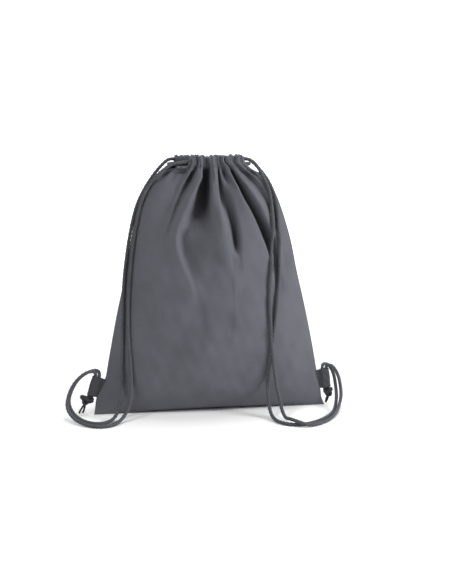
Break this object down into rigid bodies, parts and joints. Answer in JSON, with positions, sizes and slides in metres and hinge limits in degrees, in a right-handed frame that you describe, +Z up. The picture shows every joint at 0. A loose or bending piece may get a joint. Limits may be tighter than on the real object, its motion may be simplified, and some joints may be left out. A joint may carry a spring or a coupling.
{
  "type": "drawstring backpack",
  "caption": "Cotton gym bag standing stuffed, its mouth gathered on braided cords that hang as shoulder straps and are knotted through a cloth tab at each lower corner.",
  "frame": {"origin": "on the floor under the middle of the bag, measured without its cords", "axes": "+X to the right across the bag, -Y out of its front, +Z up from the floor to the mouth"},
  "size_m": [0.4299, 0.2075, 0.392],
  "materials": {
    "cotton": "plain woven graphite grey cotton",
    "seam_cotton": "pressed cotton seam allowance",
    "thread": "matt sewing thread",
    "cord": "braided cotton cord",
    "tab_cotton": "dark cotton, folded and stitched",
    "cord_end": "dark cord, knotted"
  },
  "bodies": {
    "bag": {"front_panel": "cotton", "back_panel": "cotton", "bottom_seam": "seam_cotton", "left_side_seam": "seam_cotton", "right_side_seam": "seam_cotton", "left_strap_back_upper": "cord", "left_strap_back_lower": "cord", "left_strap_front_upper": "cord", "left_strap_front_lower": "cord", "right_strap_back_upper": "cord", "right_strap_back_lower": "cord", "right_strap_front_upper": "cord", "right_strap_front_lower": "cord", "left_cord_turn": "cord", "right_cord_turn": "cord"},
    "front_lip": {"front_hem_channel": "cotton", "front_hem_stitching": "thread", "left_cord_front_run": "cord", "right_cord_front_run": "cord"},
    "back_lip": {"back_hem_channel": "cotton", "back_hem_stitching": "thread", "left_cord_back_run": "cord", "right_cord_back_run": "cord"},
    "left_tab_loop": {"left_tab": "tab_cotton", "left_tab_stitching": "thread"},
    "left_cord_end": {"left_knot": "cord_end", "left_cord_tails": "cord_end", "left_cord_tab_run": "cord"},
    "right_tab_loop": {"right_tab": "tab_cotton", "right_tab_stitching": "thread"},
    "right_cord_end": {"right_knot": "cord_end", "right_cord_tails": "cord_end", "right_cord_tab_run": "cord"}
  },
  "joints": [
    {"name": "front_lip_hinge", "type": "hinge", "parent": "bag", "child": "front_lip", "pos_m": [0, -0.01825, 0.372], "axis": [1, 0, 0], "range_deg": [0, 32], "deforming": ["left_strap_front_upper", "right_strap_front_upper", "left_cord_turn", "right_cord_turn"]},
    {"name": "back_lip_hinge", "type": "hinge", "parent": "bag", "child": "back_lip", "pos_m": [0, 0.01675, 0.372], "axis": [1, 0, 0], "range_deg": [-32, 0], "deforming": ["left_strap_back_upper", "right_strap_back_upper", "left_cord_turn", "right_cord_turn"]},
    {"name": "left_tab_hinge", "type": "hinge", "parent": "bag", "child": "left_tab_loop", "pos_m": [-0.168, -0.01885, 0.0406], "axis": [0.309, 0, 0.9511], "range_deg": [-45, 45], "deforming": ["left_strap_back_lower", "left_strap_front_lower"]},
    {"name": "left_cord_end_slide", "type": "slide", "parent": "left_tab_loop", "child": "left_cord_end", "axis": [-0.309, 0, -0.9511], "range_m": [0, 0.005], "deforming": ["left_strap_back_lower", "left_strap_front_lower"]},
    {"name": "right_tab_hinge", "type": "hinge", "parent": "bag", "child": "right_tab_loop", "pos_m": [0.1698, -0.01885, 0.041], "axis": [-0.1392, 0, 0.9903], "range_deg": [-45, 45], "deforming": ["right_strap_back_lower", "right_strap_front_lower"]},
    {"name": "right_cord_end_slide", "type": "slide", "parent": "right_tab_loop", "child": "right_cord_end", "axis": [0.1392, 0, -0.9903], "range_m": [0, 0.005], "deforming": ["right_strap_back_lower", "right_strap_front_lower"]}
  ],
  "couplings": [
    {"joint": "back_lip_hinge", "follows": "front_lip_hinge", "ratio": -1}
  ]
}
